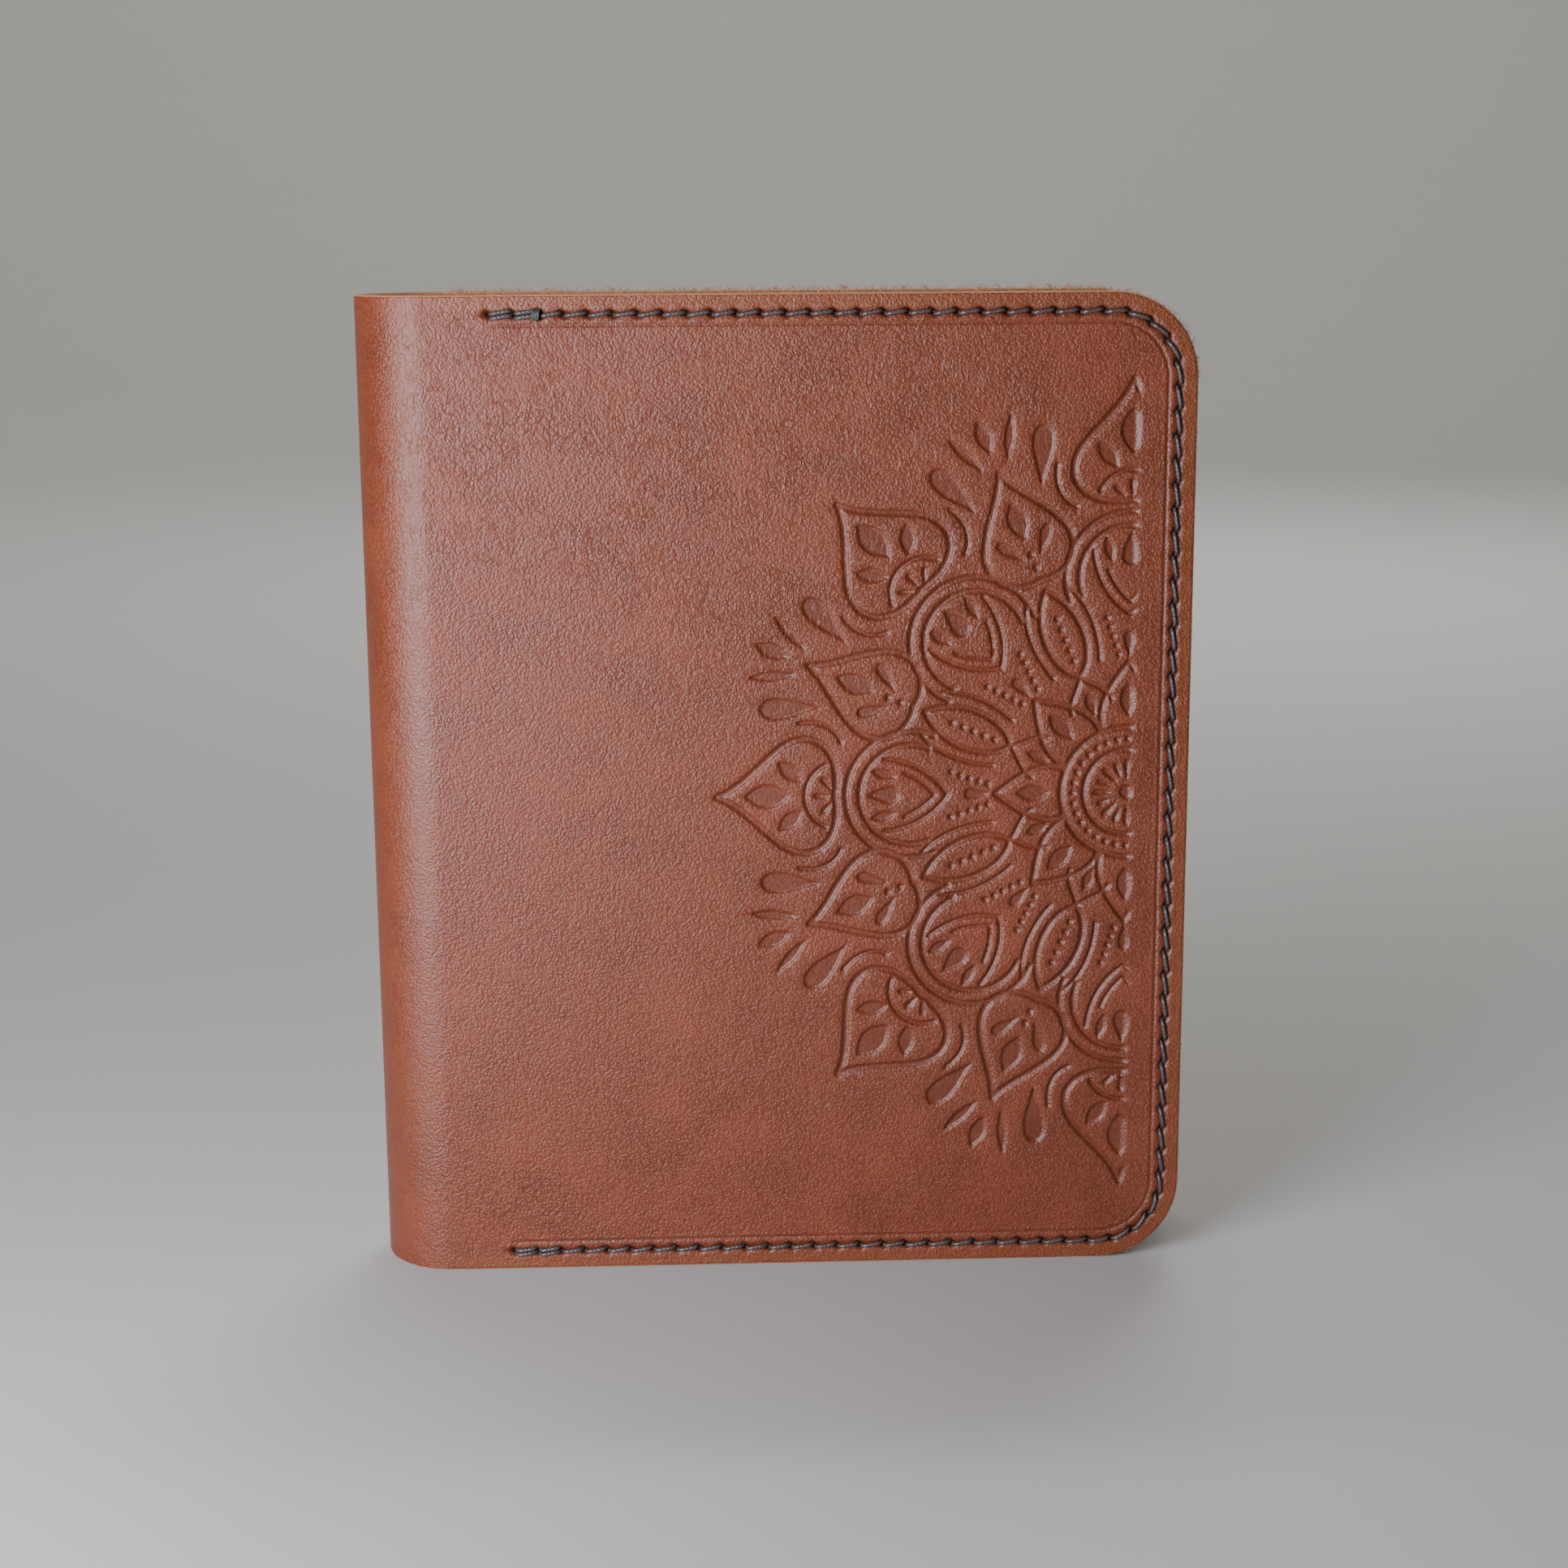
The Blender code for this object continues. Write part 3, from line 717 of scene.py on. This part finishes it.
def edge_profile(thickness, outer_round, inner_round, face_rows):
    """Rows from the face over the cut edge to the inner face: distance in from the edge, depth, material."""
    rows = [(row, 0.0, GRAIN) for row in face_rows]
    for degrees in range(15, 91, 15):
        angle = radians(degrees)
        slot = GRAIN if degrees <= 30 else EDGE
        rows.append((outer_round * (1 - sin(angle)), outer_round * (1 - cos(angle)), slot))
    for share in (0.3, 0.5, 0.7):
        depth = outer_round + (thickness - outer_round - inner_round) * share
        rows.append((-0.06 * MM * sin(pi * share), depth, EDGE))
    for degrees in range(0, 91, 30):
        angle = radians(degrees)
        rows.append((inner_round * (1 - cos(angle)), thickness - inner_round * (1 - sin(angle)), EDGE))
    return rows


def add_borders(sheet, columns, rows_z, profile, corner, right):
    """The strips along the top, the bottom and, if the sheet has a fore-edge, its right side and corners.
    Returns the line of points at the inner face, from the top left round to the bottom left."""
    inward, depth, slots = (np.array(column) for column in zip(*profile))
    slots = slots[1:]
    top = sheet.add_patch(columns[:, None], (HEIGHT - inward)[None, :], depth[None, :], slots)
    bottom = sheet.add_patch(columns[:, None], inward[None, :], depth[None, :], slots)
    if not right:
        return top, bottom, None
    end = columns[-1]
    turns = np.linspace(0.0, pi / 2, 89)[:, None]
    radius, depth = (corner - inward)[None, :], depth[None, :]
    outer, inner = radius * np.sin(turns), radius * np.cos(turns)
    upper = sheet.add_patch(end + outer, HEIGHT - corner + inner, depth, slots)
    fore = sheet.add_patch(end + radius, rows_z[::-1][:, None], depth, slots)
    lower = sheet.add_patch(end + inner, corner - outer, depth, slots)
    return top, bottom, np.concatenate([upper[:, -1], fore[:, -1], lower[:, -1]])


def close_sheet(sheet, columns, end_rows, borders, bent_until):
    """The inner face and the end faces, whose rows are end_rows. Columns up to bent_until get their own
    strip of the inner face."""
    top, bottom, fore = borders
    bent = int(np.searchsorted(columns, bent_until + 1e-9))
    bent = min(max(bent, 1), len(columns) - 1)
    last = len(columns) - 1 if fore is None else bent
    for i in range(last):
        sheet.add_polygon((top[i, -1], top[i + 1, -1], bottom[i + 1, -1], bottom[i, -1]), FLESH)
    if fore is not None:
        round_line = np.concatenate([top[bent:, -1], fore, bottom[bent:, -1][::-1]])
        sheet.add_polygon(round_line, FLESH)
    ends = (0,) if fore is not None else (0, -1)
    for end in ends:
        upright = sheet.add_points(columns[end], end_rows[::-1], 0.0)
        sheet.add_polygon(np.concatenate([top[end][::-1], upright, bottom[end]]), EDGE)


def bent_point(side):
    """Places a sheet of outer leather round the spine and along one cover."""

    def place(u, z, depth):
        angle = np.minimum(u, QUARTER) / OUTER_RADIUS
        radius = OUTER_RADIUS - depth
        x = BEND_X - radius * np.cos(angle) + np.maximum(u - QUARTER, 0.0)
        return np.stack([x, side * radius * np.sin(angle), z], axis=1)

    return place


def cover_relief(side, seam):
    """What shapes a cover's face: the seam, a slow swell of the hide and, in front, the rosette."""

    def relief(u, z):
        x = BEND_X + u - QUARTER
        # pressed carries the seam's painted shade in the awl slits and round the thread, and its darker
        # border line.
        height, pressed = (np.where(u > QUARTER, part, 0.0) for part in seam_relief(seam, x, z))
        inside, _ = seam.coordinates(x, z)
        calm = smooth((u - QUARTER) / (14 * MM)) * smooth((np.minimum(inside, 0.05) - 3 * MM) / (9 * MM))
        swell = np.sin(x / (17 * MM) + 0.6 * side) * np.sin(z / (26 * MM) + 0.9)
        swell += 0.5 * np.sin((x + 1.3 * z) / (21 * MM))
        height = height + 0.07 * MM * calm * swell
        if side == FRONT:
            stamped, shoulder = rosette_depth(x, z)
            height = height - sizes().pressed * stamped - sizes().shoulder * shoulder
            pressed = pressed + stamped
        # Creases gather in two places: where the cover is pulled open, and beside the top of the spine.
        flexed = np.exp(-(((x - 4 * MM) / (30 * MM)) ** 2) - ((z - 0.78 * HEIGHT) / (30 * MM)) ** 2)
        flexed += 0.6 * np.exp(-(((x + 42 * MM) / (18 * MM)) ** 2) - ((z - 0.86 * HEIGHT) / (22 * MM)) ** 2)
        rim = np.where(u > QUARTER, smooth((seam.margin - 0.3 * MM - inside) / (0.9 * MM)), 0.0)
        return height, {"pressed": pressed, "flexed": flexed, "rim": rim}

    return relief


def plain_relief(u, z):
    return np.zeros(u.shape), {}


# ---------------------------------------------------------------- thread


class Tubes:
    """Many short tubes gathered into one mesh."""

    def __init__(self):
        self.points, self.faces, self.count = [], [], 0

    def add(self, centres, normals, radius, plies=0, lay=1.0, sides=12):
        """A tube along centres. normals are the outward directions there. Plies give it twisted strands."""
        centres = np.array(centres, float)
        normals = np.array(normals, float)
        radius = np.broadcast_to(radius, len(centres))
        along = np.gradient(centres, axis=0)
        along /= np.linalg.norm(along, axis=1)[:, None]
        normals = normals - along * (normals * along).sum(1)[:, None]
        normals /= np.linalg.norm(normals, axis=1)[:, None]
        across = np.cross(along, normals)
        walked = np.concatenate([[0.0], np.cumsum(np.linalg.norm(np.diff(centres, axis=0), axis=1))])
        angles = np.arange(sides) * 2 * pi / sides
        lobe = 0.26 if plies else 0.0
        for i in range(len(centres)):
            lobes = 1.0 + lobe * np.cos(plies * (angles - 2 * pi * walked[i] / lay))
            reach = radius[i] * lobes / (1.0 + lobe)
            ring = np.outer(np.cos(angles) * reach, normals[i]) + np.outer(np.sin(angles) * reach, across[i])
            self.points.append(centres[i] + ring)
        start = self.count
        for i in range(len(centres) - 1):
            for j in range(sides):
                a, b = start + i * sides + j, start + i * sides + (j + 1) % sides
                self.faces.append((a, b, b + sides, a + sides))
        self.faces.append(tuple(range(start, start + sides))[::-1])
        end = start + (len(centres) - 1) * sides
        self.faces.append(tuple(range(end, end + sides)))
        self.count += len(centres) * sides

    def build(self, name, finish):
        points = np.concatenate(self.points)
        slots = [0] * len(self.faces)
        return make_piece(name, points, self.faces, slots, [finish], points[:, [0, 2]], radians(70))


def stitch_path(seam, start, end, aside, face_y, outward, lift=0.0, shift=0.0):
    """One stitch from hole to hole: it rises out of one awl slit, lies slanted, and dives into the next."""
    hole_depth, arch = 0.62 * MM, 0.80 * MM
    centres, normals = [], []
    for t in np.linspace(0.0, 1.0, 17):
        along = start + (end - start) * t
        x, z, _, _ = seam.place(along, aside * (2 * t - 1) + shift)
        rise = arch * (1 - abs(2 * t - 1) ** 6) - hole_depth + lift
        centres.append((x, face_y + outward * rise, z))
        normals.append((0.0, outward, 0.0))
    return centres, normals


def sew(name, seam, face_y, outward, body, replaced, knot):
    """The run of stitches on one face of a cover, with its doubled ends."""
    size = sizes()
    jitter = np.random.RandomState(11 + int(outward) + int(knot) * 4)
    hole_inset = 0.3 * MM
    tubes = Tubes()
    for number in range(seam.stitches):
        start, end = number * seam.pitch, (number + 1) * seam.pitch
        aside = (0.27 + 0.05 * jitter.uniform(-1, 1)) * MM
        lift = 0.03 * MM * jitter.uniform(-1, 1)
        radius = size.thread / 2 * (1 + 0.04 * jitter.uniform(-1, 1))
        doubled = number < 2 or number >= seam.stitches - 2
        for shift in (-0.36 * MM, 0.36 * MM) if doubled else (0.0,):
            raised = lift + abs(shift) * 0.2
            from_hole, to_hole = start + hole_inset, end - hole_inset
            path = stitch_path(seam, from_hole, to_hole, aside, face_y, outward, raised, shift)
            tubes.add(*path, radius, plies=3, lay=1.9 * MM, sides=15)
    piece = tubes.build(name, finish_named("waxed_three_ply_thread", waxed_thread, colours().thread))
    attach(piece, body)
    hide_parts(replaced)
    if knot:
        whip_ends(name.replace("stitches", "whipping"), seam, face_y, outward, body)


def whip_ends(name, seam, face_y, outward, body):
    """Four turns of thin thread that bind the seam's doubled end."""
    tubes = Tubes()
    angles = np.linspace(0, 2 * pi, 17)
    slant = 0.12 * MM * np.cos(angles)
    rise = outward * (0.28 + 0.52 * np.sin(angles)) * MM
    normals = np.stack([np.zeros(17), outward * np.sin(angles), np.cos(angles)], axis=1)
    for turn in range(4):
        x, z, _, _ = seam.place(1.8 * seam.pitch + turn * 0.27 * MM)
        centres = np.stack([x + slant, face_y + rise, z + 0.80 * MM * np.cos(angles)], axis=1)
        tubes.add(centres, normals, 0.17 * MM, sides=8)
    piece = tubes.build(name, finish_named("dark_whipping_thread", waxed_thread, colours().whipping))
    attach(piece, body)


# ---------------------------------------------------------------- operators


class BuildSpine(bpy.types.Operator):
    """The leather round the spine, in four stretches laid round the bend"""

    bl_idname = "notebook_cover.build_spine"
    bl_label = "Spine leather"

    def execute(self, context):
        size = sizes()
        rows = (size.corner, 6 * MM, 2 * MM, 0.9 * MM, EDGE_ROUNDS[0])
        profile = edge_profile(size.leather, *EDGE_ROUNDS, rows)
        rows_z = np.linspace(size.corner, HEIGHT - size.corner, 12)
        for side, name in SIDE_NAMES.items():
            nodes = ["spine_middle", f"{name}_spine_strip_1"]
            for number in range(2):
                start, end = STRIP_ARC * number, STRIP_ARC * (number + 1)
                near = 2 * END_STEP
                columns = graded(
                    (start, END_STEP), (start + near, 0.3 * MM), (end - near, END_STEP), (end, 1)
                )
                sheet = Sheet()
                sheet.add_patch(columns[:, None], rows_z[None, :], 0.0, GRAIN)
                borders = add_borders(sheet, columns, rows_z, profile, size.corner, right=False)
                close_sheet(sheet, columns, rows_z, borders, end)
                stretch = f"{name}_spine_leather_{number + 1}"
                piece = sheet.build(stretch, side, bent_point(side), plain_relief, cover_finishes())
                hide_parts(nodes[number])
                bend_leather(piece)
        return {"FINISHED"}


def bend_leather(piece):
    """Bakes a stretch's placement into its mesh."""
    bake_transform(piece)


class BuildCovers(bpy.types.Operator):
    """The front cover with its pressed rosette and the plain back cover"""

    bl_idname = "notebook_cover.build_covers"
    bl_label = "Covers"

    def execute(self, context):
        size = sizes()
        seam = Seam()
        step = size.step * 1.0
        start = STRIP_ARC * 2
        end = QUARTER + seam.corner_x - BEND_X
        sewn_from = QUARTER + seam.first_x - BEND_X - 1.5 * MM
        rosette_from = QUARTER + FORE_X - size.rosette_inset - size.rosette - MM - BEND_X
        fine = max(step, 0.34 * MM)
        # Rows from the corner's inner end out to the cut edge, fine across the border line and the stitches.
        seam_rows = ((6.1 * MM, 0.16 * MM), (4.2 * MM, 0.2 * MM), (1.6 * MM, 0.3 * MM), (0.4 * MM, 1))
        first_rows = {FRONT: ((size.corner, step), (8.4 * MM, 0.45 * MM)), BACK: ((size.corner, 0.9 * MM),)}
        for side, name in SIDE_NAMES.items():
            middle_step = step if side == FRONT else fine
            profile = edge_profile(size.leather, *EDGE_ROUNDS, falling(*first_rows[side], *seam_rows))
            columns = graded(
                (start, END_STEP), (start + 2 * END_STEP, 0.35 * MM), (QUARTER + MM, 0.8 * MM),
                (sewn_from, fine), (rosette_from, middle_step), (end, 1),
            )
            rows_z = graded((size.corner, middle_step), (HEIGHT - size.corner, 1))
            sheet = Sheet()
            left_rows = rows_z
            if side == FRONT:
                sheet.add_patch(columns[:, None], rows_z[None, :], 0.0, GRAIN)
            else:
                inner = graded((start, 0.5 * MM), (QUARTER + MM, 2.5 * MM), (end - MIDDLE_GAP, 1))
                left_rows = add_plain_middle(sheet, columns, rows_z, inner)
            borders = add_borders(sheet, columns, rows_z, profile, size.corner, right=True)
            close_sheet(sheet, columns, left_rows, borders, QUARTER + MM)
            relief = cover_relief(side, seam)
            piece = sheet.build(f"{name}_cover_leather", side, bent_point(side), relief, cover_finishes())
            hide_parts(f"{name}_cover", f"{name}_spine_strip_2")
            bend_leather(piece)
        return {"FINISHED"}


def add_plain_middle(sheet, columns, rows_z, inner_columns):
    """A coarser middle for a face with no pressed pattern, zipped to the fine lines round it. Returns the
    rows of its left side."""
    low, high, end = rows_z[0], rows_z[-1], columns[-1]
    z = graded((low + MIDDLE_GAP, 2.5 * MM), (high - MIDDLE_GAP, 1))
    middle = sheet.add_patch(inner_columns[:, None], z[None, :], 0.0, GRAIN)
    for at, row in ((high, middle[:, -1]), (low, middle[:, 0])):
        line = sheet.add_points(columns, at, 0.0)
        sheet.zip_lines(line, row, columns, inner_columns, GRAIN)
    line = sheet.add_points(end, rows_z, 0.0)
    sheet.zip_lines(line, middle[-1], rows_z, z, GRAIN)
    return np.concatenate([[low], z, [high]])


class BuildFibres(bpy.types.Operator):
    """Loose fibres that stand up from the raw cut edges"""

    bl_idname = "notebook_cover.build_fibres"
    bl_label = "Edge fibres"

    def execute(self, context):
        size = sizes()
        seam = Seam()
        fuzzy = seam.straight + seam.turn
        top_fibres, all_fibres = 560, 640
        for side, name in SIDE_NAMES.items():
            random = np.random.RandomState(40 + side)
            tubes = Tubes()
            for number in range(all_fibres):
                # Most stand along the top; the fore-edge is rubbed smooth and keeps few, worn short.
                on_top = number < top_fibres
                stretch = (-8 * MM, fuzzy) if on_top else (fuzzy, fuzzy + seam.upright)
                along = random.uniform(*stretch)
                length = random.uniform(0.35, 1.4) * MM * (1.0 if on_top else 0.5)
                lean, curl = random.uniform(-1.2, 1.2), random.uniform(-0.6, 0.6)
                depth = size.leather * random.uniform(0.12, 0.9)
                x, z, dx, dz = seam.place(along, seam.margin)
                out = np.array([-dz, 0.0, dx])
                onward = np.array([dx, 0.0, dz])
                base = np.array([x, side * (OUTER_RADIUS - depth), z]) - out * 0.08 * MM
                t = np.linspace(0.0, 1.0, 6)[:, None]
                sway = t**2 * lean + 0.25 * np.sin(3 * t) * curl
                curled = curl * t**2 * np.array([0.0, 1.0, 0.0])
                path = base + length * (0.75 * t * out + sway * onward + curled)
                tubes.add(path, [onward + out * 0.1] * 6, 0.045 * MM * (1 - 0.7 * t[:, 0]), sides=4)
            piece = tubes.build(f"{name}_edge_fibres", cut_edge_finish())
            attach(piece, name)
        return {"FINISHED"}


class BuildSleeves(bpy.types.Operator):
    """The two inner sleeves, sewn down on three sides and open towards the spine"""

    bl_idname = "notebook_cover.build_sleeves"
    bl_label = "Sleeves"

    def execute(self, context):
        size = sizes()
        seam = Seam()
        rounding = 0.35 * MM
        rows = falling((size.corner, 0.9 * MM), (4.6 * MM, 0.2 * MM), (1.6 * MM, 0.3 * MM), (rounding, 1))
        profile = edge_profile(SLEEVE_LEATHER, rounding, 0.25 * MM, rows)
        fine = 0.42 * MM * 1.0
        rounded_x = SLEEVE_X + 0.4 * MM
        columns = graded((SLEEVE_X, END_STEP), (rounded_x, fine), (seam.corner_x, 1))
        rows_z = graded((size.corner, fine), (HEIGHT - size.corner, 1))
        for side, name in SIDE_NAMES.items():
            sheet = Sheet()
            inner = graded((SLEEVE_X, END_STEP), (rounded_x, 3 * MM), (seam.corner_x - MIDDLE_GAP, 1))
            left_rows = add_plain_middle(sheet, columns, rows_z, inner)
            borders = add_borders(sheet, columns, rows_z, profile, size.corner, right=True)
            close_sheet(sheet, columns, left_rows, borders, SLEEVE_X)

            def place(u, z, depth):
                return np.stack([u, side * (SLEEVE_INNER_Y + depth), z], axis=1)

            def relief(u, z):
                rim = np.clip(rounding - (u - SLEEVE_X), 0.0, rounding)
                rounded = rounding - np.sqrt(rounding**2 - rim**2)
                # The darkening holds painted shade in the awl slits and round the thread, and the darker
                # border line; it goes to the pressed attribute.
                height, darkened = seam_relief(seam, u, z)
                return height * 0.8 - rounded, {"pressed": darkened}

            piece = sheet.build(f"{name}_sleeve_leather", side, place, relief, sleeve_finishes())
            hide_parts(f"{name}_sleeve")
            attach(piece, name)
        return {"FINISHED"}


class BuildStitches(bpy.types.Operator):
    """The saddle stitches on both faces of both covers, doubled at their ends"""

    bl_idname = "notebook_cover.build_stitches"
    bl_label = "Stitches"

    def execute(self, context):
        seam = Seam()
        for side, name in SIDE_NAMES.items():
            node = f"{name}_seam_thread"
            sew(f"{name}_outer_stitches", seam, side * OUTER_RADIUS, side, name, node, side == FRONT)
            sew(f"{name}_inner_stitches", seam, side * SLEEVE_INNER_Y, -side, name, node, False)
        return {"FINISHED"}


def round_sweep(material):
    """A round floor that curves up at its rim, so no horizon shows from any side."""
    floor_radius, curve_radius, wall_height = 1.5, 0.9, 1.2
    profile = [(0.0, 0.0), (floor_radius / 2, 0.0)]
    for degrees in range(0, 91, 10):
        angle = radians(degrees)
        profile.append((floor_radius + curve_radius * sin(angle), curve_radius * (1 - cos(angle))))
    profile.append((floor_radius + curve_radius, curve_radius + wall_height))
    shape = bmesh.new()
    line = [shape.verts.new((radius, 0.0, height)) for radius, height in profile]
    edges = [shape.edges.new(pair) for pair in zip(line, line[1:])]
    bmesh.ops.spin(shape, geom=line + edges, cent=(0, 0, 0), axis=(0, 0, 1), angle=2 * pi, steps=96)
    bmesh.ops.remove_doubles(shape, verts=shape.verts, dist=1e-5)
    bmesh.ops.recalc_face_normals(shape, faces=shape.faces)
    mesh = bpy.data.meshes.new("floor")
    shape.to_mesh(mesh)
    shape.free()
    mesh.materials.append(material)
    mesh.shade_smooth()
    return mesh


class BuildStage(bpy.types.Operator):
    """A plain pale floor, soft studio light and the camera"""

    bl_idname = "notebook_cover.build_stage"
    bl_label = "Stage"

    def execute(self, context):
        scene = bpy.context.scene
        material, _, shader = new_material("matt_pale_board")
        set_inputs(shader, {"Base Color": opaque(linear("#b9b6b2")), "Roughness": 0.9})
        floor = bpy.data.objects.new("floor", round_sweep(material))
        floor.location.z = CAD_LOW.z - 0.1 * MM
        scene.collection.objects.link(floor)

        world = bpy.data.worlds.new("studio")
        world.use_nodes = True
        sky = {"Color": opaque(linear("#ccd2da")), "Strength": 0.11}
        set_inputs(world.node_tree.nodes["Background"], sky)
        scene.world = world

        target = Vector((0.0, 0.0, HEIGHT / 2))
        # Name, place from the target, size in metres, power in watts, colour and what it is aimed at.
        lamps = (
            ("window", (-0.2, -0.265, 0.05), (0.2, 0.3), 2.75, "#f0f1fc", target),
            ("fill", (0.9, -0.7, 0.5), (0.8, 0.8), 0.3, "#fff0e2", target),
            ("back", (0.3, 0.9, 0.7), (0.6, 0.6), 5.0, "#ffffff", target),
            ("backdrop", (0.0, 0.8, 1.9), (1.2, 0.6), 30.0, "#ffffff", Vector((0.0, 2.3, 0.6))),
        )
        for name, place, size, power, colour, aim in lamps:
            light = bpy.data.lights.new(name, "AREA")
            light.shape = "RECTANGLE"
            light.size, light.size_y = size
            light.energy = power
            light.color = linear(colour)
            lamp = bpy.data.objects.new(name, light)
            lamp.visible_camera = False
            lamp.location = target + Vector(place)
            lamp.rotation_euler = (aim - lamp.location).to_track_quat("-Z", "Y").to_euler()
            scene.collection.objects.link(lamp)

        # The camera's turn, and its place from the outer corner of the spine's foot.
        pitch, yaw, roll = radians(11.92), radians(2.19), radians(-0.35)
        from_spine, in_front, above = 0.0515, 0.4145, 0.1697
        forward = Vector((sin(yaw) * cos(pitch), cos(yaw) * cos(pitch), -sin(pitch)))
        level = Vector((cos(yaw), -sin(yaw), 0.0))
        upward = level.cross(forward)
        right = level * cos(roll) + upward * sin(roll)
        up = right.cross(forward)
        lens = bpy.data.cameras.new("camera")
        lens.sensor_width = 36.0
        lens.lens = 60.34
        lens.clip_start = 0.01
        camera = bpy.data.objects.new("camera", lens)
        turned = Matrix((right, up, -forward)).transposed().to_4x4()
        place = (CAD_LOW.x + from_spine, CAD_LOW.y - in_front, above)
        camera.matrix_world = Matrix.Translation(place) @ turned
        scene.collection.objects.link(camera)
        scene.camera = camera
        return {"FINISHED"}


OPERATORS = (BuildSpine, BuildCovers, BuildFibres, BuildSleeves, BuildStitches, BuildStage)


class NotebookCoverPanel(bpy.types.Panel):
    """Lists the parts of the cover in the sidebar"""

    bl_idname = "VIEW3D_PT_notebook_cover"
    bl_label = "Notebook Cover"
    bl_space_type = "VIEW_3D"
    bl_region_type = "UI"
    bl_category = "Notebook Cover"

    def draw(self, context):
        for operator in OPERATORS:
            self.layout.operator(operator.bl_idname)
        for group in (context.scene.notebook_cover_sizes, context.scene.notebook_cover_colours):
            box = self.layout.box()
            for name in type(group).__annotations__:
                box.prop(group, name)


CLASSES = (NotebookCoverSizes, NotebookCoverColours, *OPERATORS, NotebookCoverPanel)


def register():
    for registered in CLASSES:
        bpy.utils.register_class(registered)
    bpy.types.Scene.notebook_cover_sizes = bpy.props.PointerProperty(type=NotebookCoverSizes)
    bpy.types.Scene.notebook_cover_colours = bpy.props.PointerProperty(type=NotebookCoverColours)


def unregister():
    del bpy.types.Scene.notebook_cover_sizes
    del bpy.types.Scene.notebook_cover_colours
    for registered in reversed(CLASSES):
        bpy.utils.unregister_class(registered)


def main():
    register()
    bpy.ops.notebook_cover.build_spine()
    bpy.ops.notebook_cover.build_covers()
    bpy.ops.notebook_cover.build_fibres()
    bpy.ops.notebook_cover.build_sleeves()
    bpy.ops.notebook_cover.build_stitches()
    bpy.ops.notebook_cover.build_stage()
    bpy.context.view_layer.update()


if __name__ == "__main__":
    main()
